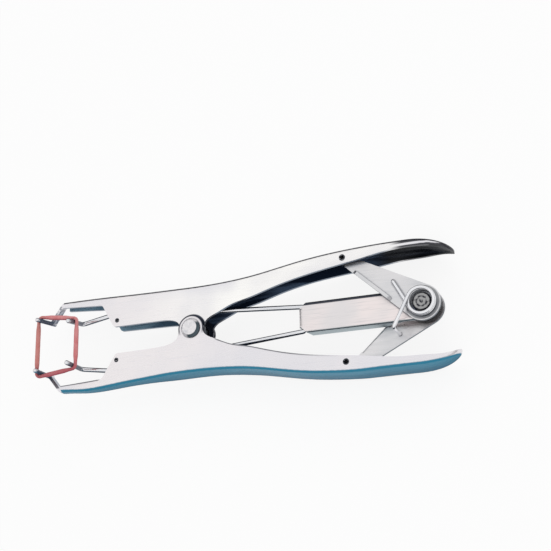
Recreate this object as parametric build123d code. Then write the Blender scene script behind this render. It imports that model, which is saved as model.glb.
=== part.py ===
from build123d import *
import math
import os

os.makedirs("parts", exist_ok=True)

# Castration band pliers, lying on their side on the pivot rivet and the two grips.
# The origin is on the pivot axis at the underside. X runs from the jaws to the handles,
# Y across the two arms and Z along the prongs that hold the rubber ring.
# Everything is drawn about the middle plane of the tool and lifted onto the floor at the end.

# Driving dimensions, in millimetres
sheet = 1.5
bend = 2.0
jaw_front_x = -71.6
jaw_half_width = 4.0
jaw_web_y = 23.0
upper_web = [(-40, 22.4), (-10, 21.6), (6, 21.6), (32, 23.6), (56, 27.4), (78, 29.0)]
lower_web = [(-60, 23.8), (-40, 22.7), (-10, 21.2), (6, 21.0), (32, 23.2), (56, 27.5), (78, 29.4)]
upper_belly = [(-17, 6.1), (-42.4, 6.3), (-49.2, 18.2), (jaw_front_x, 19.8)]
lower_belly = [(-17, 7.3), (-41.0, 7.2), (-48.6, 19.2), (jaw_front_x, 20.3)]
pivot_wall_gap = 0.2
pivot_half_width = 7.9
grip_half_width = 9.7
grip_start_x = 106.0
grip_length = 20.6
grip_rise = 3.9
grip_rim_y = 25.4
grip_drop = 1.1
grip_slope = (0.8, -0.6)
grip_skirt = 1.8
ear_radius = 6.4
pivot_flat = 7.5
rivet_radius = 3.0
rivet_head_radius = 4.7
rivet_crown_radius = 3.6
rivet_head_height = 1.75
running_gap = 0.05
spacer_radius = 4.4

# Prongs; a lean is how far a prong's tip stands nearer the middle than its foot
prong_x = -79.3
upper_prong_y = 13.3
lower_prong_y = 14.2
upper_prong_lean = 1.9
lower_prong_lean = 0.0
prong_radius = 1.05
prong_reach = 16.2
tongue_width = 3.6
tongue_bend_x = -72.9
rod_radius = 1.15
rod_prong_x = -62.0
upper_rod_prong_y = 11.1
lower_rod_prong_y = 12.0
upper_rod_lean = 2.2
lower_rod_lean = 0.0
rod_knee_x = -47.0
upper_rod_slope = 0.078
lower_rod_slope = 0.082
rod_bend = 2.0

# Guide pins at the jaws and roll pins in the handles
guide_x = -40.6
upper_guide_y = 9.4
lower_guide_y = 10.6
guide_pin_radius = 1.1
handle_pin_x = 76.0
handle_pin_y = 24.8
handle_pin_radius = 1.5
roll_pin_wall = 0.55
roll_pin_slot = 0.5
guide_pin_reach = 5.2
upper_pin_reach = 8.3
lower_pin_reach = 9.1

# Toggle: drawbar, two links, rivet and spring
toggle_x = 111.2
bar_sheet = 1.4
bar_half_height = 7.3
bar_face_z = 3.0
bar_front_x = 52.0
bar_lip_depth = 6.8
bar_lip_start_x = 56.8
bar_lip_taper_x = 92.0
bar_lip_end_x = 102.0
hook_gap = 0.55
link_sheet = 1.5
link_gap = 0.1
link_eye_radius = 8.4
link_end_radius = 2.4
link_flange = 3.2
link_flange_start = 12.0
link_flange_end = 35.0
toggle_pin_radius = 2.5
toggle_head_radius = 4.4
toggle_head_height = 1.5
toggle_play = 0.65
toggle_spacer_radius = 3.8
spring_radius = 5.9
spring_wire = 0.85
spring_turn_gap = 0.06
spring_hook_reach = 17.0
spring_hook_side = 2.0

# Rubber ring, stretched over the four prongs
ring_radius = 1.15
ring_height = 10.5
ring_gap = 0.1

# Sizes that follow from the ones above
lower_inner = pivot_half_width - sheet
upper_half_width = lower_inner - pivot_wall_gap
rivet_reach = pivot_half_width + running_gap + rivet_head_height
floor_lift = max(rivet_reach, grip_half_width)
hook_x = bar_front_x + bar_face_z
rod_y = bar_half_height - bar_sheet - 0.05
curl_inner = rod_radius + hook_gap
bar_back_z = bar_face_z - bar_sheet
link_near_z = bar_face_z + link_gap
link_far_z = bar_face_z - bar_lip_depth - link_gap
link_length = math.hypot(toggle_x - handle_pin_x, handle_pin_y)
link_angle = math.degrees(math.atan2(handle_pin_y, toggle_x - handle_pin_x))


def side_outline(web_line, belly_line):
    # The arm seen along the pivot: web on top, free edges of the walls and the ear below.
    grip_top = (grip_start_x, grip_rim_y + grip_rise)
    web = Spline((jaw_front_x, jaw_web_y), *web_line, grip_top, tangents=((1, 0.02), (1, 0)))
    grip_tip = (grip_start_x + grip_length, grip_rim_y - grip_drop)
    grip_end = Spline(grip_top, grip_tip, tangents=((1, 0), grip_slope))
    ear_right = (ear_radius * math.cos(math.radians(15)), ear_radius * math.sin(math.radians(15)))
    ear_left = (ear_radius * math.cos(math.radians(175)), ear_radius * math.sin(math.radians(175)))
    tip_edge = (grip_tip[0], grip_tip[1] - grip_skirt)
    skirt = Line(grip_tip, tip_edge)
    rim = Spline(
        tip_edge, (grip_start_x + 0.7 * grip_length, grip_rim_y - 0.4), (grip_start_x + 0.35 * grip_length, grip_rim_y),
        (grip_start_x - 6, grip_rim_y - 0.3), (90, grip_rim_y - 1.6), (handle_pin_x, 21.9),
    )
    throat = Spline(
        (handle_pin_x, 21.9), (56, 19.1), (40, 15.4), (28, 11.9), (20, 9.9), (12.4, 6.5), ear_right,
        tangents=((-1, -0.12), (-0.26, -0.97)),
    )
    ear = ThreePointArc(ear_right, (0, -ear_radius), ear_left)
    notch = Spline(ear_left, belly_line[0], tangents=((0.087, 0.996), (-1, 0)))
    belly = Polyline(*belly_line, (jaw_front_x, jaw_web_y))
    outline = make_face([web, grip_end, skirt, rim, throat, ear, notch, belly])
    corners = outline.vertices().filter_by_position(Axis.X, -50, -40)
    return fillet(corners, 1.6)


def cavity_outline(web_line):
    # The hollow below the web, as deep as the walls and open on the free side.
    start = (jaw_front_x - 8, jaw_web_y - sheet)
    grip_top = (grip_start_x, grip_rim_y + grip_rise - sheet)
    inner_line = [(x, y - sheet) for x, y in web_line]
    web = Spline(start, *inner_line, grip_top, tangents=((1, 0.02), (1, 0)))
    tip = (grip_start_x + grip_length - 0.6 * sheet, grip_rim_y - grip_drop - 0.8 * sheet)
    end = Spline(grip_top, tip, tangents=((1, 0), grip_slope))
    past = (tip[0] + 2 * grip_slope[0], tip[1] + 2 * grip_slope[1])
    rest = Polyline(tip, past, (past[0], -20), (start[0], -20), start)
    return make_face([web, end, rest])


def plan_outline(widths_front, half_width, widths_rear, inset, front_x):
    # The arm seen from above its web, narrow at the jaws and widest at the grips.
    front = [(x, w - inset) for x, w in widths_front]
    front[0] = (front_x, front[0][1])
    rear = [(x, w - inset) for x, w in widths_rear]
    pivot_front = (-pivot_flat, half_width - inset)
    pivot_rear = (pivot_flat, half_width - inset)
    upper = [
        Spline(*front, pivot_front, tangents=((1, 0), (1, 0))),
        Line(pivot_front, pivot_rear),
        Spline(pivot_rear, *rear, (grip_start_x, grip_half_width - inset), tangents=((1, 0), (1, 0))),
    ]
    grip = EllipticalCenterArc(
        (grip_start_x, 0), grip_length - inset, grip_half_width - inset, start_angle=-90, arc_size=180
    )
    lower = [mirror(edge, about=Plane.XZ) for edge in upper]
    front_edge = Line((front_x, front[0][1]), (front_x, -front[0][1]))
    return make_face([*upper, grip, *lower, front_edge])


def round_web(block, radius):
    # Rounds the lengthwise bends between the web and the walls.
    bends = []
    for face in block.faces():
        if face.normal_at(face.center()).Y > 0.5:
            bends += [edge for edge in face.edges() if abs((edge % 0.5).X) > 0.3 and abs(edge.center().Z) > 1]
    return fillet(bends, radius)


def arm(web_line, belly_line, widths_front, half_width, widths_rear, guide_y, prong_y, prong_lean):
    plan = plan_outline(widths_front, half_width, widths_rear, 0, jaw_front_x)
    inner_plan = plan_outline(widths_front, half_width, widths_rear, sheet, jaw_front_x - 8)
    outer = extrude(side_outline(web_line, belly_line), 12, both=True) & extrude(Plane.XZ * plan, 40, both=True)
    hollow = extrude(cavity_outline(web_line), 12, both=True) & extrude(Plane.XZ * inner_plan, 40, both=True)
    body = round_web(outer, bend) - round_web(hollow, bend - sheet)
    body -= Cylinder(rivet_radius + running_gap, 30)
    body -= Pos(guide_x, guide_y) * Cylinder(guide_pin_radius, 30)
    body -= Pos(handle_pin_x, handle_pin_y) * Cylinder(handle_pin_radius, 30)
    return body + front_prong(prong_y, prong_lean)


def front_prong(prong_y, prong_lean):
    # The web runs on as a narrow tongue, turns inward and ends as a round prong.
    mid_y = jaw_web_y - sheet / 2
    path = FilletPolyline((jaw_front_x + 2, mid_y), (tongue_bend_x, mid_y), (prong_x, prong_y), radius=1.6)
    strip = sweep(Plane(path @ 0, x_dir=(0, 0, 1), z_dir=path % 0) * Rectangle(tongue_width, sheet), path)
    rod = Cylinder(prong_radius, prong_reach + tongue_width / 2, align=(Align.CENTER, Align.CENTER, Align.MIN))
    rod = Pos(0, 0, -tongue_width / 2) * fillet(rod.edges().sort_by(Axis.Z)[-1], prong_radius * 0.8)
    lean = math.degrees(math.atan2(prong_lean, prong_reach))
    return strip + Pos(prong_x, prong_y) * Rot(lean, 0, 0) * rod


def roll_pin(radius, half_length, x, y):
    # A rolled sheet pin with its slot towards the pivot.
    pin = Cylinder(radius, 2 * half_length) - Cylinder(radius - roll_pin_wall, 2 * half_length)
    pin -= Pos(-radius, 0, 0) * Box(2 * radius, roll_pin_slot, 2 * half_length)
    return Pos(x, y) * pin


def pivot_rivet():
    # A plain shank between two bevelled heads, drawn as half its section and turned.
    seat = pivot_half_width + running_gap
    section = Polyline(
        (0, -rivet_reach), (rivet_crown_radius, -rivet_reach), (rivet_head_radius, -seat - 0.5),
        (rivet_head_radius, -seat), (rivet_radius, -seat), (rivet_radius, seat), (rivet_head_radius, seat),
        (rivet_head_radius, seat + 0.5), (rivet_crown_radius, rivet_reach), (0, rivet_reach), close=True,
    )
    return revolve(Plane.XZ * make_face(section), Axis.Z)


def pivot_spacer():
    half_length = upper_half_width - sheet - running_gap
    return Cylinder(spacer_radius, 2 * half_length) - Cylinder(rivet_radius, 2 * half_length)


def prong_rod(slope, prong_y, lean):
    # Hook in the drawbar's curl, long straight leg, bend inwards and the upright prong.
    corner = (hook_x, rod_y, 0)
    knee = (rod_knee_x, rod_y + slope * (hook_x - rod_knee_x), 0)
    base = (rod_prong_x, prong_y, 0)
    tip = (rod_prong_x, prong_y - lean, prong_reach)
    path = FilletPolyline((hook_x, 0.7, 0), corner, knee, base, tip, radius=rod_bend)
    rod = sweep(Plane(path @ 0, z_dir=path % 0) * Circle(rod_radius), path)
    return fillet(rod.edges().sort_by(Axis.Z)[-1], rod_radius * 0.8)


def drawbar():
    # Face towards the viewer, lips folded back along both sides, front end curled round the hooks.
    face_z = bar_back_z
    tab = rod_y - rod_radius - 0.5
    chamfer = bar_half_height - tab
    shoulder = hook_x - 2.0
    face = make_face(Polyline(
        (hook_x, -tab), (shoulder, -tab), (shoulder + chamfer, -bar_half_height),
        (toggle_x, -bar_half_height), (toggle_x, bar_half_height),
        (shoulder + chamfer, bar_half_height), (shoulder, tab), (hook_x, tab), close=True,
    ))
    face += Pos(toggle_x, 0) * Circle(bar_half_height)
    plate = Pos(0, 0, face_z) * extrude(face, bar_sheet)
    lip_side = make_face(Plane.XZ * Polyline(
        (bar_lip_start_x - 0.8, bar_face_z), (bar_lip_start_x + 0.4, bar_face_z - bar_lip_depth),
        (bar_lip_taper_x, bar_face_z - bar_lip_depth), (bar_lip_end_x, bar_back_z),
        (bar_lip_end_x + 2, bar_face_z), close=True,
    ))
    lip = Pos(0, bar_half_height, 0) * extrude(lip_side, bar_sheet)
    bar = plate + lip + mirror(lip, about=Plane.XZ)
    face_edges = bar.edges().filter_by(Axis.X).filter_by_position(Axis.Z, bar_face_z - 0.01, bar_face_z + 0.01)
    long_edges = [e for e in face_edges if e.length > 10 and abs(abs(e.center().Y) - bar_half_height) < 0.01]
    bar = fillet(long_edges, bar_sheet - 0.1)
    curl = Circle(bar_face_z) - Circle(curl_inner)
    cut = make_face(Polyline((0, 0), (0, 8), (8, 8), (8, -8), (3.4, -8), close=True))
    curl = Pos(hook_x, 0, 0) * extrude(Plane.XZ * (curl - cut), tab, both=True)
    bar += curl
    return bar - Pos(toggle_x, 0, 0) * Cylinder(toggle_pin_radius, 20)


def link_plate():
    # Drawn with its big eye at the origin and its small end along minus X; the stiffening flange
    # runs along the edge that faces the drawbar and is turned up by the flange height.
    eyes = [Circle(link_eye_radius).edge(), (Pos(-link_length, 0) * Circle(link_end_radius)).edge()]
    blank = make_hull(eyes)
    plate = extrude(blank, link_sheet)
    lean = math.degrees(math.asin((link_eye_radius - link_end_radius) / link_length))
    slant = link_flange - link_sheet
    side = Polyline(
        (-link_flange_end, 0), (-link_flange_end, link_sheet), (-link_flange_end + slant, link_flange),
        (-link_flange_start - slant, link_flange), (-link_flange_start, link_sheet), (-link_flange_start, 0),
        close=True,
    )
    flange = Pos(0, link_eye_radius, 0) * extrude(Plane.XZ * make_face(side), link_sheet)
    plate += Rot(0, 0, lean) * flange
    fold = link_sheet - 0.2
    run = link_flange_end - link_flange_start
    middle = -(link_flange_start + link_flange_end) / 2
    corner = Pos(middle, link_eye_radius - fold / 2, fold / 2) * Box(run, fold, fold)
    corner -= Pos(middle, link_eye_radius - fold, fold) * Rot(0, 90, 0) * Cylinder(fold, run)
    plate -= Rot(0, 0, lean) * corner
    hook_hole = Pos(-spring_hook_reach, -spring_hook_side) * Cylinder(spring_wire + 0.1, 20)
    plate -= Cylinder(toggle_pin_radius + toggle_play, 20) + hook_hole
    return plate - Pos(-link_length, 0) * Cylinder(handle_pin_radius + running_gap, 20)


def upper_link():
    # The same pressing as the lower link, turned over and laid on the drawbar's near side.
    link = mirror(link_plate(), about=Plane.XZ)
    return Pos(toggle_x, 0, link_near_z) * Rot(0, 0, -link_angle) * link


def lower_link():
    link = mirror(link_plate(), about=Plane.XY)
    return Pos(toggle_x, 0, link_far_z) * Rot(0, 0, link_angle) * link


def toggle_rivet():
    near = link_near_z + link_sheet + running_gap
    far = link_far_z - link_sheet - running_gap
    rivet = Pos(toggle_x, 0, (near + far) / 2) * Cylinder(toggle_pin_radius, near - far)
    for z, up in ((near, 1), (far, -1)):
        head = Cylinder(toggle_head_radius, toggle_head_height)
        head = Pos(toggle_x, 0, z + up * toggle_head_height / 2) * head
        crown = head.edges().sort_by(Axis.Z)[-1 if up > 0 else 0]
        rivet += fillet(crown, toggle_head_height * 0.6)
    return rivet


def toggle_spacer():
    top = bar_back_z
    bottom = link_far_z + running_gap
    tube = Cylinder(toggle_spacer_radius, top - bottom) - Cylinder(toggle_pin_radius, top - bottom)
    return Pos(toggle_x, 0, (top + bottom) / 2) * tube


def torsion_spring():
    # Coil on the near side of the upper link; each leg leaves on a tangent and hooks through its link.
    # The whole wire is one path, from the upper link's hole round the coil to the lower link's hole.
    coil_z = link_near_z + link_sheet + link_gap + spring_wire
    pitch = 2 * spring_wire + spring_turn_gap
    reach = math.hypot(spring_hook_reach, spring_hook_side)
    hook_turn = 180 - link_angle - math.degrees(math.atan2(spring_hook_side, spring_hook_reach))
    start = hook_turn + math.degrees(math.acos(spring_radius / reach))
    turns = 3 - start / 180
    coil = Rot(0, 0, start) * Helix(pitch, pitch * turns, spring_radius)
    hook = math.radians(hook_turn)
    upper_hook = (reach * math.cos(hook), reach * math.sin(hook))
    lower_hook = (upper_hook[0], -upper_hook[1])
    upper_floor = link_near_z - 1.2 - coil_z
    lower_floor = link_far_z - link_sheet - 1.2 - coil_z
    leg_bend = spring_wire + 0.1
    upper_leg = FilletPolyline((*upper_hook, upper_floor), (*upper_hook, 0), coil @ 0, radius=leg_bend)
    top = pitch * turns
    lower_leg = FilletPolyline(coil @ 1, (*lower_hook, top), (*lower_hook, lower_floor), radius=leg_bend)
    path = Wire([*upper_leg.edges(), *coil.edges(), *lower_leg.edges()])
    wire = sweep(Plane(path @ 0, z_dir=path % 0) * Circle(spring_wire), path)
    return Pos(toggle_x, 0, coil_z) * wire


def castration_ring():
    # The ring is pulled into a four-sided loop round the outside of the prongs.
    up = ring_height / prong_reach
    front_top = (prong_x, upper_prong_y - up * upper_prong_lean)
    rear_top = (rod_prong_x, upper_rod_prong_y - up * upper_rod_lean)
    rear_bottom = (rod_prong_x, -(lower_rod_prong_y - up * lower_rod_lean))
    front_bottom = (prong_x, -(lower_prong_y - up * lower_prong_lean))
    middle = make_face(Polyline(front_top, rear_top, rear_bottom, front_bottom, close=True))
    wrap = max(prong_radius, rod_radius) + ring_radius + ring_gap
    ring = Part()
    for run in offset(middle, amount=wrap).edges():
        ring += sweep(Plane(run @ 0, z_dir=run % 0) * Circle(ring_radius), run)
    return Pos(0, 0, ring_height) * ring


def save(shape, node):
    shape = Pos(0, 0, floor_lift) * shape
    export_step(shape, f"parts/{node}.step")


lower_front = [(jaw_front_x, jaw_half_width), (-45, 4.9), (-24, 6.1)]
lower_rear = [(24, 8.9), (60, 9.0)]
upper_front = [(jaw_front_x, jaw_half_width), (-45, 4.9), (-24, 5.7)]
upper_rear = [(40, upper_half_width + 0.1), (60, 6.9), (78, 8.3)]

lower = arm(
    lower_web, lower_belly, lower_front, pivot_half_width, lower_rear, lower_guide_y, lower_prong_y, lower_prong_lean
)
upper = arm(
    upper_web, upper_belly, upper_front, upper_half_width, upper_rear, upper_guide_y, upper_prong_y, upper_prong_lean
)
lower_rod = prong_rod(lower_rod_slope, lower_rod_prong_y, lower_rod_lean)
upper_rod = prong_rod(upper_rod_slope, upper_rod_prong_y, upper_rod_lean)
save(mirror(lower, about=Plane.XZ), "lower_arm")
save(upper, "upper_arm")
save(pivot_rivet(), "pivot_rivet")
save(pivot_spacer(), "pivot_spacer")
save(roll_pin(guide_pin_radius, guide_pin_reach, guide_x, upper_guide_y), "upper_guide_pin")
save(roll_pin(guide_pin_radius, guide_pin_reach, guide_x, -lower_guide_y), "lower_guide_pin")
save(upper_rod, "upper_prong_rod")
save(mirror(lower_rod, about=Plane.XZ), "lower_prong_rod")
save(roll_pin(handle_pin_radius, upper_pin_reach, handle_pin_x, handle_pin_y), "upper_handle_pin")
save(roll_pin(handle_pin_radius, lower_pin_reach, handle_pin_x, -handle_pin_y), "lower_handle_pin")
save(drawbar(), "drawbar")
save(upper_link(), "upper_link")
save(lower_link(), "lower_link")
save(toggle_rivet(), "toggle_rivet")
save(toggle_spacer(), "toggle_spacer")
save(torsion_spring(), "torsion_spring")
save(castration_ring(), "castration_ring")
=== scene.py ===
import math

import bmesh
import bpy
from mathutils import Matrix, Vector


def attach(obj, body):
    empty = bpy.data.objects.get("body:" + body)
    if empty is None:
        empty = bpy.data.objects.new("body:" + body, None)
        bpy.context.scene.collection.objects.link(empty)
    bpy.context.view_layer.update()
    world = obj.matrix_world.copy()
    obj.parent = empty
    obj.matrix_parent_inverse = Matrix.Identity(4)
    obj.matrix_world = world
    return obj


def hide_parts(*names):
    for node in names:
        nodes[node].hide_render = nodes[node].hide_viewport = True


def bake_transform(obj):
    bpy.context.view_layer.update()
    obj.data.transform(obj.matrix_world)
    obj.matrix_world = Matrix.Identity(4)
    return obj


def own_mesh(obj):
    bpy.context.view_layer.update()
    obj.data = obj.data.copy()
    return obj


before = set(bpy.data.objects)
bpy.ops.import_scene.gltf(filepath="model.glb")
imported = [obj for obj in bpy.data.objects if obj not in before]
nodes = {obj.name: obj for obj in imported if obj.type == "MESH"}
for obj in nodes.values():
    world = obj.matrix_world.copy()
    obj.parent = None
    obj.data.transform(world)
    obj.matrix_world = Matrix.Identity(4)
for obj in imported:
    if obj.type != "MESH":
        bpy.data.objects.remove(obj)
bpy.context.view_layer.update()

mm = 0.001
midHeight = 9.7 * mm  # the tool's middle plane above the floor
pivotX, toggleX = 0.0, 111.2 * mm  # the two rivets' axes
print("frame loaded:", len(nodes), "nodes")


# Small helpers that build a material out of nodes
def startMaterial(name, metallic, roughness):
    material = bpy.data.materials.new(name)
    material.use_nodes = True
    tree = material.node_tree
    shader = tree.nodes["Principled BSDF"]
    shader.inputs["Metallic"].default_value = metallic
    shader.inputs["Roughness"].default_value = roughness
    return material, tree, shader


def plug(tree, target, value):
    if isinstance(value, bpy.types.NodeSocket):
        tree.links.new(value, target)
    elif value is not None:
        target.default_value = value


def calc(tree, operation, a, b=None):
    node = tree.nodes.new("ShaderNodeMath")
    node.operation = operation
    plug(tree, node.inputs[0], a)
    plug(tree, node.inputs[1], b)
    return node.outputs[0]


def chain(operation):
    def run(tree, first, *others):
        for other in others:
            first = calc(tree, operation, first, other)
        return first
    return run


times, plus, minus, larger = (chain(name) for name in ("MULTIPLY", "ADD", "SUBTRACT", "MAXIMUM"))


def fade(tree, value, span):
    # 0 at the span's first number, 1 at its second, smooth between; the first may be the larger
    node = tree.nodes.new("ShaderNodeMapRange")
    node.interpolation_type = "SMOOTHSTEP"
    plug(tree, node.inputs["Value"], value)
    node.inputs["From Min"].default_value, node.inputs["From Max"].default_value = span
    return node.outputs["Result"]


def remap(tree, value, span, newSpan):
    node = tree.nodes.new("ShaderNodeMapRange")
    plug(tree, node.inputs["Value"], value)
    for socket, number in zip(("From Min", "From Max", "To Min", "To Max"), (*span, *newSpan)):
        node.inputs[socket].default_value = number
    return node.outputs["Result"]


def blendColour(tree, factor, first, second):
    node = tree.nodes.new("ShaderNodeMix")
    node.data_type = "RGBA"
    for index, value in ((0, factor), (6, first), (7, second)):
        plug(tree, node.inputs[index], (*value, 1) if isinstance(value, tuple) else value)
    return node.outputs[2]


def tint(tree, colour, tone, *masks):
    # the tone where all the masks are 1, the colour where one is 0
    return blendColour(tree, times(tree, *masks), colour, tone)


def grain(tree, vector, scale, stretch=(1, 1, 1), detail=2):
    # a noise pattern, stretched along any axis
    mapping = tree.nodes.new("ShaderNodeMapping")
    mapping.inputs["Scale"].default_value = stretch
    plug(tree, mapping.inputs["Vector"], vector)
    noise = tree.nodes.new("ShaderNodeTexNoise")
    noise.inputs["Scale"].default_value = scale
    noise.inputs["Detail"].default_value = detail
    plug(tree, noise.inputs["Vector"], mapping.outputs[0])
    return noise.outputs["Fac"]


def surfaceInputs(tree):
    coords = tree.nodes.new("ShaderNodeTexCoord")
    place = tree.nodes.new("ShaderNodeSeparateXYZ")
    facing = tree.nodes.new("ShaderNodeSeparateXYZ")
    tree.links.new(coords.outputs["Object"], place.inputs[0])
    tree.links.new(coords.outputs["Normal"], facing.inputs[0])
    return coords.outputs["Object"], place.outputs, facing.outputs


def curveOf(tree, value, points):
    # a smooth curve through (position in mm, height from 0 to 1), in order of position
    low, high = points[0][0] * mm, points[-1][0] * mm
    shares = [((position * mm - low) / (high - low), height) for position, height in points]
    node = tree.nodes.new("ShaderNodeFloatCurve")
    line = node.mapping.curves[0]
    for share in shares[1:-1]:
        line.points.new(*share)
    line.points[0].location, line.points[-1].location = shares[0], shares[-1]
    node.mapping.update()
    plug(tree, node.inputs["Value"], remap(tree, value, (low, high), (0, 1)))
    return node.outputs[0]


def distanceFrom(tree, place, axisX):
    # distance from an upright axis on the tool's centre line
    east = minus(tree, place["X"], axisX)
    squares = plus(tree, times(tree, east, east), times(tree, place["Y"], place["Y"]))
    return calc(tree, "SQRT", squares)


def contactShade(tree, settings):
    # a mask for painted shade: 0 in corners and against other pieces, 1 in the open
    node = tree.nodes.new("ShaderNodeAmbientOcclusion")
    node.samples = 8
    node.inputs["Distance"].default_value = settings["contactReach"]
    return fade(tree, node.outputs["AO"], settings["contactRange"])


def polishedBase(tree, vector, settings, pale):
    # a faintly clouded tone with long polishing marks
    s = settings
    clouds = fade(tree, grain(tree, vector, s["cloudScale"]), s["cloudRange"])
    marks = grain(tree, vector, s["markScale"], s["markStretch"], detail=4)
    colour = blendColour(tree, clouds, pale, s["shade"])
    scratches = fade(tree, marks, s["markRange"])
    return marks, tint(tree, colour, s["markTone"], scratches, s["markDepth"])


def finishSurface(tree, shader, settings, colour, marks, relief=None):
    # the marks roughen the surface, and raise it unless another relief is given
    s = settings
    rough = [s["roughness"] + change for change in s["roughSpread"]]
    plug(tree, shader.inputs["Base Color"], colour)
    plug(tree, shader.inputs["Roughness"], remap(tree, marks, s["roughMarks"], rough))
    bump = tree.nodes.new("ShaderNodeBump")
    bump.inputs["Strength"].default_value = s["bump"]
    bump.inputs["Distance"].default_value = s["bumpDepth"]
    plug(tree, bump.inputs["Height"], marks if relief is None else relief)
    plug(tree, shader.inputs["Normal"], bump.outputs[0])


# Arms: bright nickel plate outside, a dark hollow of painted shade and reflection, and a painted
# blue-grey reflection on the lower arm's outer web.
# Most pairs of numbers are fades: along the tool, across it, in height or by the way a face looks.
armPlate = {
    "roughness": 0.24, "roughSpread": (-0.04, 0.07), "roughMarks": (0.3, 0.75),
    "bump": 0.04, "bumpDepth": 0.05 * mm, "specular": 0.02,
    "pale": (0.835, 0.80, 0.81), "shade": (0.755, 0.745, 0.78), "cloudScale": 28,
    "cloudRange": (0.35, 0.7),
    "handlePale": (0.965, 0.955, 0.93), "handleX": (-45 * mm, 25 * mm),
    "markScale": 60, "markStretch": (1, 26, 26), "markTone": (0.60, 0.60, 0.66),
    "markRange": (0.5, 0.78), "markDepth": 0.15,
    "contactReach": 1.6 * mm, "contactRange": (0.35, 0.92), "contactShadeTone": (0.05, 0.06, 0.09),

    # how far the channel's middle and its near wall's edge are from the tool's centre line,
    # as shares of curveTop at places along the tool in mm
    "curveTop": 31 * mm, "gripEndX": 106 * mm, "hollowDepth": (-0.2 * mm, -0.8 * mm),
    "channelMiddle": (
        (-75, 0.66), (-52, 0.66), (-44, 0.42), (-17, 0.42), (12, 0.45), (40, 0.62), (76, 0.80),
        (130, 0.80)),
    "nearWallEdge": (
        (-75, 0.655), (-66, 0.645), (-54, 0.629), (-49.5, 0.616), (-46, 0.47), (-42, 0.26),
        (-36, 0.23), (-18, 0.235), (-9, 0.18), (9, 0.160), (12, 0.204), (16, 0.263), (22, 0.339),
        (30, 0.400), (40, 0.496), (52, 0.592), (64, 0.657), (76, 0.706), (88, 0.758),
        (100, 0.810), (106, 0.818), (130, 0.818)),

    "cutEdge": (0.16, 0.20, 0.26), "cutFacing": (-0.35, -0.75), "cutOutside": (0.2 * mm, 1.2 * mm),
    # painted blue reflection on the lower arm's outer web, with painted shade along its lower bend
    "webReflectionLight": (0.034, 0.215, 0.335), "webReflectionDark": (0.010, 0.115, 0.200),
    "webFacing": (0.42, 0.70), "webRise": (-7 * mm, 6 * mm),
    "webPaintedSheen": (0.080, 0.275, 0.395), "sheenScale": 40, "sheenRange": (0.46, 0.74),
    "sheenDepth": 0.30, "webEdgeShade": (0.008, 0.045, 0.070), "webEdgeFacing": (-0.04, -0.22),
    "bendReflectionLine": (0.045, 0.045, 0.055), "bendFrom": (0.30, 0.52), "bendTo": (0.97, 0.80),

    "nearFacing": (0.35, 0.6), "nearRise": (15.2 * mm, 14.2 * mm),
    "rimShadeLine": (0.06, 0.065, 0.08), "rimWidth": (0.75 * mm, 0.30 * mm), "rimDepth": 0.85,
    "rimJawX": (-49 * mm, -51 * mm), "rimFromX": (11 * mm, 14 * mm), "rimToX": (78 * mm, 44 * mm),
    "gripDarkReflection": (0.012, 0.013, 0.020), "gripX": (98 * mm, 105 * mm), "gripDepth": 0.93,
    "streakFrom": (0.5 * mm, 0.9 * mm), "streakTo": (2.0 * mm, 1.6 * mm),
    "warpScale": 170, "warpStretch": (1, 2, 2), "warpReach": 2.4 * mm,
    "warpX": (108 * mm, 118 * mm),
    "tongueX": (-72.6 * mm, -73.6 * mm), "tongueScale": 420, "tongueStretch": (1, 1, 3),
    "tongueRange": (0.36, 0.52), "tongueDepth": 0.65,

    # painted shade and reflection in the arms' hollow
    "hollowShadeDark": (0.010, 0.017, 0.036), "hollowStreakReflection": (0.075, 0.115, 0.19),
    "jawHollow": (0.22, 0.36, 0.46), "jawHollowDeep": (0.09, 0.16, 0.24),
    "gripHollow": (0.006, 0.007, 0.010), "gripStreakReflection": (0.050, 0.053, 0.060),
    "wallScale": 26, "wallStretch": (1, 9, 9), "wallRange": (0.44, 0.60),
    "jawEndX": (-6 * mm, 4 * mm), "gripHollowX": (84 * mm, 96 * mm),
    "jawOpenX": (2 * mm, -6 * mm), "jawOpenDepth": 0.9,

    "earShadeLine": (0.022, 0.026, 0.040), "earFacing": (0.5, 0.8), "earY": (-3.5 * mm, -0.5 * mm),
    "lowerEarLine": (5.5 * mm, 6.1 * mm), "upperEarLine": (7.5 * mm, 6.9 * mm),
    "uprightFacing": (0.6, 0.3), "throatReach": (15 * mm, 12 * mm), "throatX": (0.0, 3 * mm),
    "prongDarkReflection": (0.035, 0.05, 0.085), "prongX": (-77.2 * mm, -78.0 * mm), "prongDepth": 0.85,
    "prongFrom": (0.2 * mm, 2.2 * mm), "prongTo": (15.6 * mm, 13.8 * mm), "prongDull": 0.8,
}


# painted reflection of a blue surround on the lower arm's outer web: darker towards its bottom,
# with painted sheen streaks and painted shade along its lower bend
def paintWebReflection(tree, s, vector, rise, downward, colour, web):
    tone = blendColour(tree, fade(tree, rise, s["webRise"]), s["webReflectionDark"], s["webReflectionLight"])
    sheen = fade(tree, grain(tree, vector, s["sheenScale"], s["wallStretch"]), s["sheenRange"])
    tone = tint(tree, tone, s["webPaintedSheen"], sheen, s["sheenDepth"])
    tone = tint(tree, tone, s["webEdgeShade"], fade(tree, downward, s["webEdgeFacing"]))
    return tint(tree, colour, tone, web)


def paintLowerRimShade(tree, s, place, facing, fromRim, belowTop, colour):
    # painted shade: the near wall's edge shows as a thin dark line at the jaw and along the handle
    handle = times(tree, fade(tree, place["X"], s["rimFromX"]), fade(tree, place["X"], s["rimToX"]))
    where = plus(tree, fade(tree, place["X"], s["rimJawX"]), handle)
    level = times(tree, fade(tree, facing["Z"], s["nearFacing"]), belowTop)
    width = fade(tree, fromRim, s["rimWidth"])
    return tint(tree, colour, s["rimShadeLine"], width, level, where, s["rimDepth"])


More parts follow.
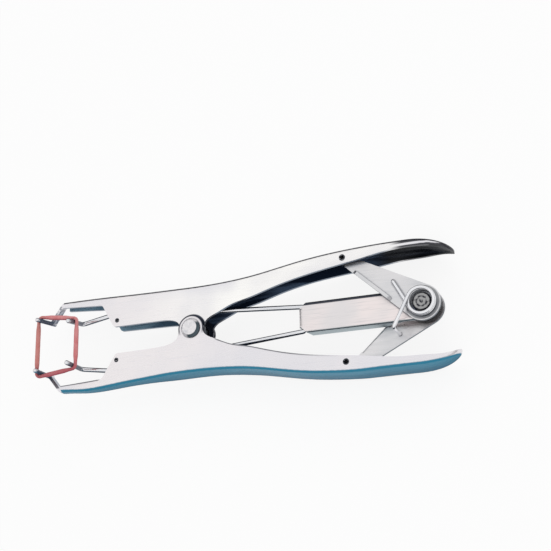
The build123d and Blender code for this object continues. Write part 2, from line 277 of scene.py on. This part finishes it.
def paintUpperEndReflections(tree, s, vector, place, fromRim, belowTop, colour):
    # painted reflection: the grip's end mirrors a dark surround, with painted bright streaks in it
    warp = minus(tree, grain(tree, vector, s["warpScale"], s["warpStretch"]), 0.5)  # about 0
    warp = times(tree, warp, s["warpReach"])
    drift = plus(tree, fromRim, times(tree, warp, fade(tree, place["X"], s["warpX"])))
    bright = times(tree, fade(tree, drift, s["streakFrom"]), fade(tree, drift, s["streakTo"]))
    colour = tint(tree, colour, s["gripDarkReflection"], fade(tree, place["X"], s["gripX"]),
                  minus(tree, 1.0, bright), s["gripDepth"])
    # so does the tongue that carries the front prong, in painted dark blotches
    blotches = grain(tree, vector, s["tongueScale"], s["tongueStretch"])
    return tint(tree, colour, s["prongDarkReflection"], fade(tree, place["X"], s["tongueX"]),
                fade(tree, blotches, s["tongueRange"]), belowTop, s["tongueDepth"])


def paintHollowShade(tree, s, side, vector, place, hollow, colour):
    # painted shade in the hollow, with a painted reflection streak along its walls, a paler painted
    # blue reflection in the jaws and painted black shade in the upper grip
    streak = fade(tree, grain(tree, vector, s["wallScale"], s["wallStretch"]), s["wallRange"])
    dark = blendColour(tree, streak, s["hollowShadeDark"], s["hollowStreakReflection"])
    jaws = blendColour(tree, streak, s["jawHollow"], s["jawHollowDeep"])
    dark = blendColour(tree, fade(tree, place["X"], s["jawEndX"]), jaws, dark)
    if side > 0:
        grip = blendColour(tree, streak, s["gripHollow"], s["gripStreakReflection"])
        dark = tint(tree, dark, grip, fade(tree, place["X"], s["gripHollowX"]))
    return tint(tree, colour, dark, hollow)


def paintEarShade(tree, s, side, place, facing, colour):
    # painted shade round the pivot's ear: its rim is dark, and so is the face beside it
    fromPivot = distanceFrom(tree, place, pivotX)
    near = times(tree, fade(tree, facing["Z"], s["earFacing"]), fade(tree, place["Y"], s["earY"]))
    line = fade(tree, fromPivot, s["lowerEarLine" if side < 0 else "upperEarLine"])
    colour = tint(tree, colour, s["earShadeLine"], line, near)
    # painted shade on upright faces in the throat by the pivot
    upright = fade(tree, calc(tree, "ABSOLUTE", facing["Z"]), s["uprightFacing"])
    throat = times(tree, fade(tree, fromPivot, s["throatReach"]),
                   fade(tree, place["X"], s["throatX"]))
    return tint(tree, colour, s["earShadeLine"], upright, throat)


def armMaterial(name, side):
    # side is 1 for the upper arm and -1 for the lower one
    s = armPlate
    material, tree, shader = startMaterial(name, 1.0, s["roughness"])
    vector, place, facing = surfaceInputs(tree)
    across = times(tree, place["Y"], side)
    outward = times(tree, facing["Y"], side)
    rise = minus(tree, place["Z"], midHeight)

    def beyond(curve):
        return minus(tree, across, times(tree, curveOf(tree, place["X"], curve), s["curveTop"]))

    # the middle of the channel, seen from the side, tells its inner faces from its outer ones
    fromEnd = larger(tree, minus(tree, place["X"], s["gripEndX"]), 0.0)
    inside = plus(tree, times(tree, outward, beyond(s["channelMiddle"])),
                  times(tree, facing["Z"], rise), times(tree, facing["X"], fromEnd))
    hollow = fade(tree, inside, s["hollowDepth"])

    pale = s["pale"]
    if side > 0:
        pale = blendColour(tree, fade(tree, place["X"], s["handleX"]), pale, s["handlePale"])
    marks, colour = polishedBase(tree, vector, s, pale)
    # cut edges of the sheet, darker than its faces
    colour = tint(tree, colour, s["cutEdge"], fade(tree, outward, s["cutFacing"]),
                  fade(tree, inside, s["cutOutside"]))

    fromRim = beyond(s["nearWallEdge"])
    belowTop = fade(tree, rise, s["nearRise"])
    web = fade(tree, outward, s["webFacing"])
    if side < 0:
        colour = paintWebReflection(tree, s, vector, rise, facing["Z"], colour, web)
        colour = paintLowerRimShade(tree, s, place, facing, fromRim, belowTop, colour)
    else:
        # a painted dark reflection along the upper arm's bend from its face to its web
        colour = tint(tree, colour, s["bendReflectionLine"], fade(tree, outward, s["bendFrom"]),
                      fade(tree, outward, s["bendTo"]))
        colour = paintUpperEndReflections(tree, s, vector, place, fromRim, belowTop, colour)
    colour = paintHollowShade(tree, s, side, vector, place, hollow, colour)
    colour = paintEarShade(tree, s, side, place, facing, colour)

    # painted reflection: the round prong is dark along its side and bright at its tip
    prong = times(tree, fade(tree, place["X"], s["prongX"]), fade(tree, rise, s["prongFrom"]),
                  fade(tree, rise, s["prongTo"]))
    colour = tint(tree, colour, s["prongDarkReflection"], prong, s["prongDepth"])
    # the jaws' open hollow gets hardly any shade from its own walls
    openJaw = times(tree, hollow, fade(tree, place["X"], s["jawOpenX"]), s["jawOpenDepth"])
    contact = larger(tree, contactShade(tree, s), openJaw)
    # painted shade in corners and against other pieces
    colour = blendColour(tree, contact, s["contactShadeTone"], colour)

    # the faces with painted reflection and shade are duller than the bright ones
    dull = larger(tree, hollow, times(tree, prong, s["prongDull"]))
    if side < 0:
        dull = larger(tree, dull, web)
    plug(tree, shader.inputs["Metallic"], minus(tree, 1.0, dull))
    shader.inputs["Specular IOR Level"].default_value = s["specular"]
    finishSurface(tree, shader, s, colour, marks)
    return material


# Flat pressings and round wire, which share a plain bright finish with painted shade and reflection
# on their edges
plainMetal = {
    "cloudScale": 45, "cloudRange": (0.35, 0.7), "markRange": (0.5, 0.75),
    "roughSpread": (-0.05, 0.12),
    "roughMarks": (0.3, 0.75), "bumpDepth": 0.04 * mm, "contactRange": (0.3, 0.9),
    # painted shade and reflection by how far a face looks along Y
    "facingShadeTones": (),  # tones by how far a face looks along Y
}
drawbarPlate = {
    **plainMetal, "pale": (0.86, 0.785, 0.775), "shade": (0.76, 0.73, 0.735), "roughness": 0.36,
    "markScale": 90, "markStretch": (1, 22, 22), "markTone": (0.50, 0.51, 0.54),
    "markDepth": 0.35, "bump": 0.2,
    "facingShadeTones": (((0.12, 0.35), (0.055, 0.06, 0.08)), ((-0.35, -0.8), (0.37, 0.44, 0.47))),
    "contactReach": 1.4 * mm, "contactShadeTone": (0.07, 0.08, 0.11),
    "bandShadeTone": (0.05, 0.055, 0.07), "bandY": (5.45 * mm, 5.80 * mm),
    "bandX": (54.2 * mm, 55.0 * mm), "bandFacing": (0.3, 0.6),
}
rodWire = {
    **plainMetal, "pale": (0.84, 0.84, 0.86), "shade": (0.72, 0.73, 0.76), "roughness": 0.16,
    "markScale": 120, "markStretch": (1, 14, 14), "markTone": (0.5, 0.52, 0.56),
    "markDepth": 0.2, "bump": 0.08,
    "facingShadeTones": (((0.30, 0.62), (0.03, 0.04, 0.06)), ((-0.72, -0.93), (0.04, 0.06, 0.09))),
    "contactReach": 1.0 * mm, "contactShadeTone": (0.05, 0.06, 0.08),
    "prongReflectionTone": (0.05, 0.065, 0.10), "prongFrom": (1.0 * mm, 3.0 * mm),
    "prongTo": (15.6 * mm, 13.8 * mm), "prongDepth": 0.85, "prongDull": 0.75,
}
linkPlate = {
    **plainMetal, "pale": (0.72, 0.71, 0.72), "shade": (0.60, 0.61, 0.63), "roughness": 0.30,
    "markScale": 80, "markStretch": (1, 12, 12), "markTone": (0.52, 0.53, 0.57),
    "markDepth": 0.3, "bump": 0.15,
    "contactReach": 1.4 * mm, "contactShadeTone": (0.05, 0.06, 0.09),
    "edgeShadeTone": (0.10, 0.12, 0.15), "edgeFacing": (0.75, 0.35),
    "eyeTone": (0.20, 0.21, 0.22), "eyeRadius": (8.1 * mm, 7.7 * mm), "eyeFacing": (0.5, 0.8),
    "eyeDepth": 0.8,
}
springWire = {
    **plainMetal, "pale": (0.86, 0.86, 0.88), "shade": (0.74, 0.75, 0.78), "roughness": 0.15,
    "markScale": 160, "markStretch": (1, 1, 1), "markTone": (0.5, 0.52, 0.56),
    "markDepth": 0.15, "bump": 0.05,
    "facingShadeTones": (((0.80, 0.97), (0.06, 0.07, 0.10)),),
    "contactReach": 0.9 * mm, "contactShadeTone": (0.03, 0.04, 0.06),
}


def metalMaterial(name, settings):
    s = settings
    material, tree, shader = startMaterial(name, 1.0, s["roughness"])
    vector, place, facing = surfaceInputs(tree)
    marks, colour = polishedBase(tree, vector, s, s["pale"])
    # painted shade and reflection by how far a face looks along Y
    for span, tone in s["facingShadeTones"]:
        colour = tint(tree, colour, tone, fade(tree, facing["Y"], span))
    if "edgeShadeTone" in s:
        # painted shade on the plate's edges
        flat = calc(tree, "ABSOLUTE", facing["Z"])
        colour = tint(tree, colour, s["edgeShadeTone"], fade(tree, flat, s["edgeFacing"]))
    if "bandShadeTone" in s:
        # painted shade: the upper lip's bend is dark
        colour = tint(tree, colour, s["bandShadeTone"], fade(tree, place["Y"], s["bandY"]),
                      fade(tree, place["X"], s["bandX"]), fade(tree, facing["Z"], s["bandFacing"]))
    if "prongReflectionTone" in s:
        # painted reflection: the rod's upturned end is dark along its side and bright at its tip
        rise = minus(tree, place["Z"], midHeight)
        prong = times(tree, fade(tree, rise, s["prongFrom"]), fade(tree, rise, s["prongTo"]))
        colour = tint(tree, colour, s["prongReflectionTone"], prong, s["prongDepth"])
        dull = times(tree, prong, s["prongDull"])
        plug(tree, shader.inputs["Metallic"], minus(tree, 1.0, dull))
    if "eyeTone" in s:
        # the face round the link's eye is darker
        eye = times(tree, fade(tree, distanceFrom(tree, place, toggleX), s["eyeRadius"]),
                    fade(tree, facing["Z"], s["eyeFacing"]))
        colour = tint(tree, colour, s["eyeTone"], eye, s["eyeDepth"])
    # painted shade in corners and against other pieces
    colour = blendColour(tree, contactShade(tree, s), s["contactShadeTone"], colour)
    finishSurface(tree, shader, s, colour, marks)
    return material


# Turned heads: concentric tool marks, and painted shade as a dark outline and a dark crescent on
# the bevel
turnedHead = {
    "roughSpread": (-0.05, 0.1), "roughMarks": (0.3, 0.7), "bump": 0.2, "bumpDepth": 0.03 * mm,
    "mottleScale": 700, "ringDepth": 0.14, "ringRange": (0.42, 0.72),
    "bevelFacing": (0.97, 0.88), "crescentFacing": (0.10, 0.35), "crescentWay": (0.8, 0.6),
    "shoulderFrom": (0.995, 0.975), "shoulderTo": (0.90, 0.95), "shoulderDepth": 0.6,
    "outlineFacing": (0.40, 0.12),
}
pivotHead = {
    **turnedHead, "pale": (0.80, 0.78, 0.79), "ring": (0.62, 0.62, 0.65), "roughness": 0.27,
    "outline": (0.05, 0.06, 0.075), "crescentShade": (0.09, 0.12, 0.14),
    "marksPerMm": 2.6, "centreX": pivotX,
}
toggleHead = {
    **turnedHead, "pale": (0.34, 0.34, 0.34), "ring": (0.035, 0.035, 0.045), "roughness": 0.24,
    "outline": (0.02, 0.02, 0.03), "crescentShade": (0.02, 0.02, 0.03),
    "marksPerMm": 0.55, "centreX": toggleX,
}


def rivetMaterial(name, settings):
    s = settings
    material, tree, shader = startMaterial(name, 1.0, s["roughness"])
    vector, place, facing = surfaceInputs(tree)
    turns = times(tree, distanceFrom(tree, place, s["centreX"]), 2 * math.pi * s["marksPerMm"] / mm)
    mottle = grain(tree, vector, s["mottleScale"], detail=3)
    tone = plus(tree, times(tree, calc(tree, "SINE", turns), s["ringDepth"]), mottle)
    colour = blendColour(tree, fade(tree, tone, s["ringRange"]), s["pale"], s["ring"])
    flat = calc(tree, "ABSOLUTE", facing["Z"])
    right, down = s["crescentWay"]
    lowerRight = minus(tree, times(tree, facing["X"], right), times(tree, facing["Y"], down))
    # painted shade on the head's shoulder, on the lower right of its bevel and round its outline
    colour = tint(tree, colour, s["outline"], fade(tree, flat, s["shoulderFrom"]),
                  fade(tree, flat, s["shoulderTo"]), s["shoulderDepth"])
    colour = tint(tree, colour, s["crescentShade"], fade(tree, flat, s["bevelFacing"]),
                  fade(tree, lowerRight, s["crescentFacing"]))
    colour = tint(tree, colour, s["outline"], fade(tree, flat, s["outlineFacing"]))
    finishSurface(tree, shader, s, colour, mottle, relief=tone)
    return material


# Roll pins: dark spring steel, a little rubbed on the rolled edge, with painted shade in the bore
rollPins = {
    "steel": (0.055, 0.06, 0.07), "rubbed": (0.30, 0.31, 0.33), "boreShade": (0.006, 0.007, 0.009),
    "roughness": 0.38, "roughSpread": (-0.08, 0.10), "roughMarks": (0.3, 0.7),
    "bump": 0.15, "bumpDepth": 0.03 * mm, "scuffScale": 1100, "scuffRange": (0.52, 0.70),
    "contactReach": 0.8 * mm, "contactRange": (0.35, 0.8),
}


def pinMaterial(name):
    s = rollPins
    material, tree, shader = startMaterial(name, 1.0, s["roughness"])
    vector, _, _ = surfaceInputs(tree)
    scuffs = grain(tree, vector, s["scuffScale"], detail=3)
    colour = blendColour(tree, fade(tree, scuffs, s["scuffRange"]), s["steel"], s["rubbed"])
    # painted shade in the bore and against other pieces
    colour = blendColour(tree, contactShade(tree, s), s["boreShade"], colour)
    finishSurface(tree, shader, s, colour, scuffs)
    return material


# Red rubber: matt and dusty along its length, darker towards its lower side, with painted shade on
# faces that look to that side and in the creases
ringRubber = {
    "red": (0.61, 0.17, 0.18), "pale": (0.69, 0.28, 0.28), "mottleScale": 260,
    "mottleRange": (0.3, 0.72),
    "dust": (0.75, 0.48, 0.46), "dustScale": 3.0, "dustStretch": (60, 9, 1),
    "dustRange": (0.52, 0.75), "dustDepth": 0.35,
    "orange": (0.53, 0.22, 0.17), "orangeX": (-76 * mm, -79.5 * mm), "orangeDepth": 0.5,
    "deep": (0.33, 0.045, 0.075), "deepY": (-9 * mm, -13.5 * mm), "deepDepth": 0.55,
    "deepFacing": (-0.45, -0.95), "contactReach": 1.2 * mm, "contactRange": (0.3, 0.9),
    "roughness": 0.62, "roughSpread": (-0.07, 0.13), "roughMarks": (0.3, 0.75),
    "bump": 0.35, "bumpDepth": 0.06 * mm, "specular": 0.35, "sheen": 0.15,
}


def rubberMaterial(name):
    s = ringRubber
    material, tree, shader = startMaterial(name, 0.0, s["roughness"])
    vector, place, facing = surfaceInputs(tree)
    along = tree.nodes.new("ShaderNodeUVMap")
    along.uv_map = "wireUv"
    streaks = grain(tree, along.outputs["UV"], s["dustScale"], s["dustStretch"], detail=4)
    mottle = grain(tree, vector, s["mottleScale"], detail=3)
    colour = blendColour(tree, fade(tree, mottle, s["mottleRange"]), s["red"], s["pale"])
    colour = tint(tree, colour, s["dust"], fade(tree, streaks, s["dustRange"]), s["dustDepth"])
    left = fade(tree, place["X"], s["orangeX"])
    colour = tint(tree, colour, s["orange"], left, s["orangeDepth"])
    # darker towards the lower side
    colour = tint(tree, colour, s["deep"], fade(tree, place["Y"], s["deepY"]), s["deepDepth"])
    # painted shade on faces that look towards the lower side
    colour = tint(tree, colour, s["deep"], fade(tree, facing["Y"], s["deepFacing"]))
    # painted shade in the creases and against other pieces
    colour = blendColour(tree, contactShade(tree, s), s["deep"], colour)
    shader.inputs["Specular IOR Level"].default_value = s["specular"]
    shader.inputs["Sheen Weight"].default_value = s["sheen"]
    finishSurface(tree, shader, s, colour, streaks)
    return material


finishes = {
    "upper_arm": armMaterial("upperArmPlate", 1),
    "lower_arm": armMaterial("lowerArmPlate", -1),
    "drawbar": metalMaterial("drawbarPlate", drawbarPlate),
    "upper_prong_rod": metalMaterial("rodWire", rodWire),
    "upper_link": metalMaterial("linkPlate", linkPlate),
    "pivot_rivet": rivetMaterial("pivotRivetSteel", pivotHead),
    "toggle_rivet": rivetMaterial("toggleRivetSteel", toggleHead),
    "upper_guide_pin": pinMaterial("rollPinSteel"),
}
for twin, first in {
    "lower_prong_rod": "upper_prong_rod", "lower_link": "upper_link",
    "pivot_spacer": "pivot_rivet", "toggle_spacer": "toggle_rivet",
    "lower_guide_pin": "upper_guide_pin", "upper_handle_pin": "upper_guide_pin",
    "lower_handle_pin": "upper_guide_pin",
}.items():
    finishes[twin] = finishes[first]
for nodeName, material in finishes.items():
    mesh = nodes[nodeName].data
    mesh.materials.clear()
    mesh.materials.append(material)
print("finishes on", len(finishes), "nodes")


# Round wire and rubber cord along a path, as a Geometry Nodes tree
def buildWireTree():
    tree = bpy.data.node_groups.new("roundWire", "GeometryNodeTree")
    face = tree.interface
    for name, kind, value in (("Path", "Geometry", None), ("Radius", "Float", mm),
                              ("Sides", "Int", 24), ("Finish", "Material", None)):
        item = face.new_socket(name, in_out="INPUT", socket_type="NodeSocket" + kind)
        if value is not None:
            item.default_value = value
    face.new_socket("Wire", in_out="OUTPUT", socket_type="NodeSocketGeometry")
    new, link = tree.nodes.new, tree.links.new
    start, end = new("NodeGroupInput"), new("NodeGroupOutput")
    toCurve, circle = new("GeometryNodeMeshToCurve"), new("GeometryNodeCurvePrimitiveCircle")
    sweep, scale = new("GeometryNodeCurveToMesh"), new("GeometryNodeInputNamedAttribute")
    scale.data_type = "FLOAT"
    scale.inputs["Name"].default_value = "wireScale"
    link(start.outputs["Path"], toCurve.inputs[0])
    link(start.outputs["Radius"], circle.inputs["Radius"])
    link(start.outputs["Sides"], circle.inputs["Resolution"])

    # the length along the wire and the way round it are kept for the finish
    kept = []
    for source, measure, target in ((toCurve, "Length", "Curve"),
                                    (circle, "Factor", "Profile Curve")):
        capture = new("GeometryNodeCaptureAttribute")
        capture.capture_items.new("FLOAT", "Along")
        link(source.outputs[0], capture.inputs[0])
        link(new("GeometryNodeSplineParameter").outputs[measure], capture.inputs[1])
        link(capture.outputs[0], sweep.inputs[target])
        kept.append(capture.outputs[1])
    link(scale.outputs["Attribute"], sweep.inputs["Scale"])
    sweep.inputs["Fill Caps"].default_value = True
    pair, store = new("ShaderNodeCombineXYZ"), new("GeometryNodeStoreNamedAttribute")
    store.data_type, store.domain = "FLOAT2", "CORNER"
    store.inputs["Name"].default_value = "wireUv"
    link(kept[0], pair.inputs[0])
    link(kept[1], pair.inputs[1])
    link(sweep.outputs[0], store.inputs["Geometry"])
    link(pair.outputs[0], store.inputs["Value"])

    smooth, realize = new("GeometryNodeSetShadeSmooth"), new("GeometryNodeRealizeInstances")
    finish = new("GeometryNodeSetMaterial")
    link(store.outputs[0], smooth.inputs[0])
    link(smooth.outputs[0], realize.inputs[0])
    link(realize.outputs[0], finish.inputs["Geometry"])
    link(start.outputs["Finish"], finish.inputs["Material"])
    link(finish.outputs[0], end.inputs[0])
    return tree


wireTree = buildWireTree()


def makeWire(name, points, scales, radius, sides, material):
    mesh = bpy.data.meshes.new(name)
    mesh.from_pydata(points, [(i, i + 1) for i in range(len(points) - 1)], [])
    sizes = mesh.attributes.new("wireScale", "FLOAT", "POINT")
    sizes.data.foreach_set("value", scales)
    piece = bpy.data.objects.new(name, mesh)
    bpy.context.scene.collection.objects.link(piece)
    modifier = piece.modifiers.new("roundWire", "NODES")
    modifier.node_group = wireTree
    values = {"Radius": radius, "Sides": sides, "Finish": material}
    for item in wireTree.interface.items_tree:
        if item.in_out == "INPUT" and item.name in values:
            modifier[item.identifier] = values[item.name]
    bpy.context.view_layer.update()
    evaluated = piece.evaluated_get(bpy.context.evaluated_depsgraph_get())
    solid = bpy.data.meshes.new_from_object(evaluated)
    piece.modifiers.clear()
    work = bmesh.new()
    work.from_mesh(solid)
    bmesh.ops.recalc_face_normals(work, faces=work.faces)
    work.to_mesh(solid)
    work.free()
    solid.name = name
    piece.data = solid
    return piece


def roundEnds(points, scales, radius, atStart, atEnd):
    # a few extra points past an end, shrinking as on a ball, so that a kink at a joint stays closed
    ballAngles = (20, 40, 58, 74, 84)  # degrees
    steps = [math.sin(math.radians(a)) for a in ballAngles]
    for wanted, last, before in ((atStart, 0, 1), (atEnd, -1, -2)):
        if not wanted:
            continue
        way = (Vector(points[last]) - Vector(points[before])).normalized()
        base, size = Vector(points[last]), scales[last]
        extra = [(tuple(base + way * radius * size * t), size * math.sqrt(1 - t * t))
                 for t in steps]
        if last == 0:
            points = [p for p, _ in reversed(extra)] + points
            scales = [q for _, q in reversed(extra)] + scales
        else:
            points = points + [p for p, _ in extra]
            scales = scales + [q for _, q in extra]
    return points, scales


# Rubber ring, in pieces round the prongs; the top and bottom pieces are attached to the arms
rubberRing = {
    "frontTop": (-79.3 * mm, 12.07 * mm), "rearTop": (-62.0 * mm, 9.67 * mm),
    "rearBottom": (-62.0 * mm, -12.0 * mm), "frontBottom": (-79.3 * mm, -14.2 * mm),
    "frontProngRadius": 1.05 * mm, "rearProngRadius": 1.15 * mm,
    "radius": 1.15 * mm, "gap": 0.06 * mm, "height": 10.5 * mm,
    "sides": 28, "bendSteps": 14, "longSideSteps": 26, "shortSideSteps": 16,
    "bendThickness": 0.74, "swellLength": 3.2 * mm, "keepShare": 0.235,
    "foldAxis": (0.961, 0.278),
}


def buildRing(material):
    # the rubber is thinnest where it bends round a prong and swells again along the sides
    s = rubberRing
    order = ("frontBottom", "frontTop", "rearTop", "rearBottom")
    prongs = [Vector((*s[name], midHeight + s["height"])) for name in order]
    prongRadii = [s["frontProngRadius" if "front" in name else "rearProngRadius"] for name in order]
    wraps = [radius + s["bendThickness"] * s["radius"] + s["gap"] for radius in prongRadii]
    normals = []
    for i, here in enumerate(prongs):
        way = (prongs[(i + 1) % 4] - here).normalized()
        normals.append(Vector((-way.y, way.x, 0)))

    def bendAt(i):
        first, last = (math.atan2(n.y, n.x) for n in (normals[i - 1], normals[i]))
        turn = (first - last) % (2 * math.pi)
        angles = (first - turn * k / s["bendSteps"] for k in range(s["bendSteps"] + 1))
        return [prongs[i] + wraps[i] * Vector((math.cos(a), math.sin(a), 0)) for a in angles]

    bends = [bendAt(i) for i in range(4)]

    def sideAfter(i, steps):
        first, last = bends[i][-1], bends[(i + 1) % 4][0]
        return [first.lerp(last, k / steps) for k in range(1, steps)]

    def thickness(point):
        nearest = min((point - prong).length - wrap for prong, wrap in zip(prongs, wraps))
        share = min(max(nearest / s["swellLength"], 0.0), 1.0)
        return s["bendThickness"] + (1 - s["bendThickness"]) * share * share * (3 - 2 * share)

    frontSide, rearSide = (sideAfter(i, s["longSideSteps"]) for i in (0, 2))
    topSide, bottomSide = (sideAfter(i, s["shortSideSteps"]) for i in (1, 3))
    middle = s["longSideSteps"] // 2
    parts = {
        "ringFront": (bends[0] + frontSide + bends[1], False, False),
        "ringTop": ([bends[1][-1]] + topSide + [bends[2][0]], True, True),
        "ringRearUpper": (bends[2] + rearSide[:middle], False, True),
        "ringRearLower": (rearSide[middle - 1:] + bends[3], True, False),
        "ringBottom": ([bends[3][-1]] + bottomSide + [bends[0][0]], True, True),
    }
    ring = {}
    for name, (points, atStart, atEnd) in parts.items():
        scales = [thickness(p) for p in points]
        points, scales = roundEnds(points, scales, s["radius"], atStart, atEnd)
        ring[name] = makeWire(name, points, scales, s["radius"], s["sides"], material)
    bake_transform(ring["ringFront"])
    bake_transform(ring["ringRearUpper"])
    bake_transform(ring["ringRearLower"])
    for name, side, body, anchor in (("ringTop", 1, "upper_arm", bends[1][-1]),
                                     ("ringBottom", -1, "lower_arm", bends[0][0])):
        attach(ring[name], body)
        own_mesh(ring[name])
    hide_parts("castration_ring")
    return ring


ring = buildRing(rubberMaterial("redRubber"))
print("rubber ring in", len(ring), "pieces")


# Torsion spring on the toggle rivet, one half on each link
coilSpring = {
    "centre": (toggleX, 0.0), "radius": 5.9 * mm, "wire": 0.85 * mm, "turnGap": 0.06 * mm,
    "hookReach": 17.0 * mm, "hookSide": 2.0 * mm, "legBend": 0.95 * mm, "linkAngle": 35.167,
    "coilHeight": 5.55 * mm, "upperHookEnd": 1.9 * mm, "lowerHookEnd": -6.6 * mm,
    "turns": 3, "stepsPerTurn": 56, "legSteps": 8, "sides": 20,
}


def buildSpring(material):
    s = coilSpring
    pitch = 2 * s["wire"] + s["turnGap"]
    reach = math.hypot(s["hookReach"], s["hookSide"])
    hookTurn = math.radians(180 - s["linkAngle"]) - math.atan2(s["hookSide"], s["hookReach"])
    start = hookTurn + math.acos(s["radius"] / reach)
    sweepAngle = 2 * math.pi * s["turns"] - 2 * start
    count = int(s["stepsPerTurn"] * sweepAngle / (2 * math.pi))
    coil = []
    for i in range(count + 1):
        t = i / count
        angle = start + sweepAngle * t
        height = s["coilHeight"] + pitch * sweepAngle / (2 * math.pi) * t
        coil.append(Vector((s["radius"] * math.cos(angle), s["radius"] * math.sin(angle), height)))

    def leg(first, hook, bottom):
        # straight to the hole, a small bend and down through the link
        level = Vector((*hook, first.z))
        way = (level - first).normalized()
        bend = s["legBend"]
        centre = level - way * bend + Vector((0, 0, -bend))
        arc = [centre + way * bend * math.sin(a) + Vector((0, 0, bend * math.cos(a)))
               for a in (math.radians(d) for d in range(0, 91, 10))]
        run = [first.lerp(arc[0], i / s["legSteps"]) for i in range(1, s["legSteps"])]
        return run + arc + [Vector((*hook, bottom))]

    hook = (reach * math.cos(hookTurn), reach * math.sin(hookTurn))
    upperLeg = leg(coil[0], hook, s["upperHookEnd"])
    lowerLeg = leg(coil[-1], (hook[0], -hook[1]), s["lowerHookEnd"])
    half = len(coil) // 2
    halves = {
        "springUpperHalf": (upperLeg[::-1] + coil[:half + 1], False, True, "upper_link"),
        "springLowerHalf": (coil[half:] + lowerLeg, True, False, "lower_link"),
    }
    spring = {}
    for name, (points, atStart, atEnd, body) in halves.items():
        placed = [(p.x + s["centre"][0], p.y + s["centre"][1], p.z + midHeight) for p in points]
        placed, scales = roundEnds(placed, [1.0] * len(placed), s["wire"], atStart, atEnd)
        spring[name] = makeWire(name, placed, scales, s["wire"], s["sides"], material)
        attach(spring[name], body)
    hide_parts("torsion_spring")
    return spring


spring = buildSpring(metalMaterial("springWire", springWire))
print("spring in", len(spring), "halves")


# Floor, light and camera
studio = {
    "floorSize": 6.0, "floorColour": (0.93, 0.93, 0.93), "floorShade": 0.985, "floorScale": 6,
    "floorRoughness": 0.9, "floorSpecular": 0.1, "floorGlow": 0.86,
    "worldLight": 0.80, "worldSeen": 1.0, "horizonSeen": 0.35, "horizonTop": 0.55,
    "keyPower": 1.8, "keySize": 0.8, "keyPlace": (0.15, 0.95, 0.85),
    "fillPower": 0.8, "fillSize": 0.7, "fillPlace": (0.5, -0.6, 0.5), "lampTarget": (0.02, 0, 0),
    "cameraPlace": (0.2076, -0.1475, 0.4912), "cameraTurn": (18.0541, 19.5784, -1.4292),
    "lens": 73.65, "sensorWidth": 36.0,
}


def buildFloor():
    s = studio
    half = s["floorSize"] / 2
    corners = [(-half, -half, 0), (half, -half, 0), (half, half, 0), (-half, half, 0)]
    mesh = bpy.data.meshes.new("floor")
    mesh.from_pydata(corners, [], [(0, 1, 2, 3)])
    floor = bpy.data.objects.new("floor", mesh)
    bpy.context.scene.collection.objects.link(floor)
    material, tree, shader = startMaterial("paleFloor", 0.0, s["floorRoughness"])
    vector, _, _ = surfaceInputs(tree)
    shade = tuple(c * s["floorShade"] for c in s["floorColour"])
    tone = blendColour(tree, grain(tree, vector, s["floorScale"]), s["floorColour"], shade)
    plug(tree, shader.inputs["Base Color"], tone)
    shader.inputs["Specular IOR Level"].default_value = s["floorSpecular"]
    # the camera and mirrors see it nearly white, and it keeps the object's shadow
    rays, glow = tree.nodes.new("ShaderNodeLightPath"), tree.nodes.new("ShaderNodeEmission")
    mixer = tree.nodes.new("ShaderNodeMixShader")
    kinds = ("Camera", "Glossy", "Transmission")
    seen = larger(tree, *(rays.outputs[f"Is {kind} Ray"] for kind in kinds))
    plug(tree, mixer.inputs[0], times(tree, seen, s["floorGlow"]))
    plug(tree, mixer.inputs[1], shader.outputs[0])
    plug(tree, mixer.inputs[2], glow.outputs[0])
    plug(tree, tree.nodes["Material Output"].inputs["Surface"], mixer.outputs[0])
    mesh.materials.append(material)


def buildWorld():
    s = studio
    world = bpy.data.worlds.new("studio")
    world.use_nodes = True
    bpy.context.scene.world = world
    tree = world.node_tree
    back = tree.nodes["Background"]
    back.inputs["Color"].default_value = (1, 1, 1, 1)
    rays, coords = tree.nodes.new("ShaderNodeLightPath"), tree.nodes.new("ShaderNodeTexCoord")
    way = tree.nodes.new("ShaderNodeSeparateXYZ")
    tree.links.new(coords.outputs["Generated"], way.inputs[0])
    # metal sees a white ceiling that greys towards the horizon, the camera sees plain white
    upward = fade(tree, way.outputs["Z"], (0.0, s["horizonTop"]))
    ceiling = remap(tree, upward, (0, 1), (s["horizonSeen"], s["worldSeen"]))
    seen = larger(tree, rays.outputs["Is Camera Ray"], rays.outputs["Is Transmission Ray"])
    level = remap(tree, seen, (0, 1), (s["worldLight"], s["worldSeen"]))
    shine = times(tree, rays.outputs["Is Glossy Ray"], minus(tree, ceiling, s["worldLight"]))
    plug(tree, back.inputs["Strength"], plus(tree, level, shine))


def aimedLamp(name, power, size, place):
    light = bpy.data.lights.new(name, "AREA")
    light.energy = power
    light.size = size
    lamp = bpy.data.objects.new(name, light)
    lamp.location = place
    lamp.visible_glossy = False  # the metal mirrors the white surround alone and keeps its tone
    way = Vector(studio["lampTarget"]) - Vector(place)
    lamp.rotation_euler = way.to_track_quat("-Z", "Y").to_euler()
    bpy.context.scene.collection.objects.link(lamp)


def buildCamera():
    s = studio
    camera = bpy.data.objects.new("camera", bpy.data.cameras.new("camera"))
    camera.data.lens = s["lens"]
    camera.data.sensor_width = s["sensorWidth"]
    camera.location = s["cameraPlace"]
    camera.rotation_euler = [math.radians(a) for a in s["cameraTurn"]]
    bpy.context.scene.collection.objects.link(camera)
    bpy.context.scene.camera = camera


buildFloor()
buildWorld()
aimedLamp("keyLight", studio["keyPower"], studio["keySize"], studio["keyPlace"])
aimedLamp("fillLight", studio["fillPower"], studio["fillSize"], studio["fillPlace"])
buildCamera()
bpy.context.scene.view_settings.view_transform = "Standard"
print("studio ready")
